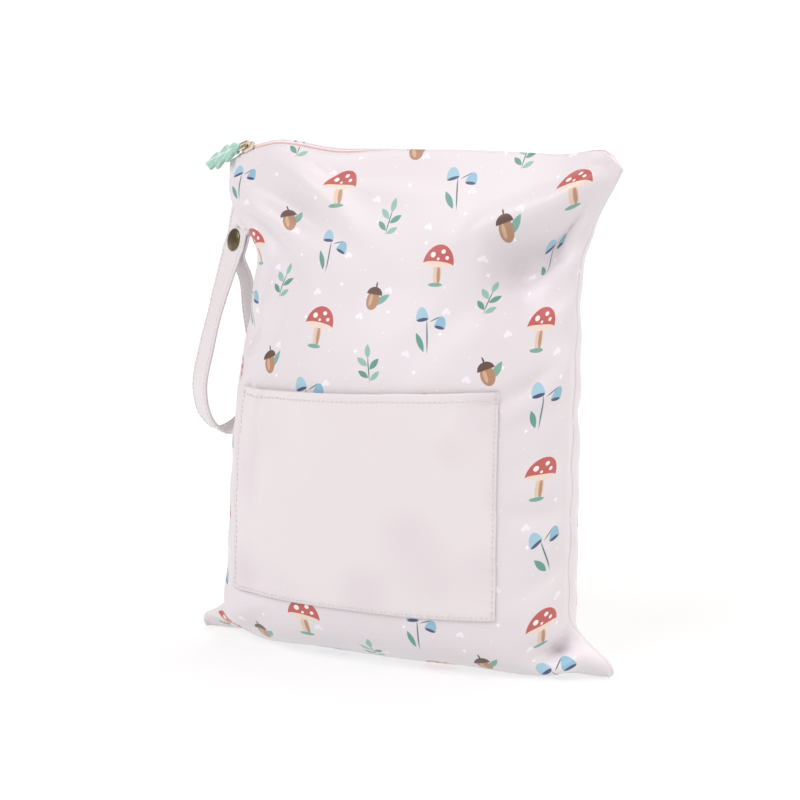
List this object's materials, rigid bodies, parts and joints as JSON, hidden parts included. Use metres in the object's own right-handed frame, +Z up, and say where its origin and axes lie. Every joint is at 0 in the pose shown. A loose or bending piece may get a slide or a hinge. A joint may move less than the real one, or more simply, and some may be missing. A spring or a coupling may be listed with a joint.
{
  "type": "waterproof bag",
  "caption": "Stuffed waterproof cloth pouch standing on its base, zipped along the top, with a front patch pocket, a snapped wrist strap and a soft leaf-shaped zip pull.",
  "frame": {"origin": "on the surface that the bag stands on, on the front panel's flat underside near the middle of the base", "axes": "+Z up, +X to the viewer's right, -Y to the front, the side with the pocket"},
  "size_m": [0.312, 0.1271, 0.3301],
  "materials": {
    "printed_cloth": "coated polyester with a soft satin sheen and a small woodland print",
    "plain_cloth": "plain coated polyester with a soft satin sheen",
    "zip_cloth": "woven zip tape with a nylon coil",
    "pale_metal": "plated and polished",
    "soft_mint": "matt moulded soft plastic",
    "aged_brass": "dark antique brass"
  },
  "bodies": {
    "bag": {"front_panel": "printed_cloth", "back_panel": "printed_cloth", "front_pocket": "plain_cloth", "zip_tape": "zip_cloth", "zip_slider": "pale_metal", "wrist_strap": "plain_cloth", "strap_snap": "aged_brass"},
    "pull": {"pull_tab": "pale_metal", "pull_leaf": "soft_mint"}
  },
  "joints": [
    {"name": "pull_swing", "type": "hinge", "parent": "bag", "child": "pull", "pos_m": [-0.11156, -0.00202, 0.32476], "axis": [-0.0689, 0.7474, 0.6608], "range_deg": [0, 165]}
  ]
}
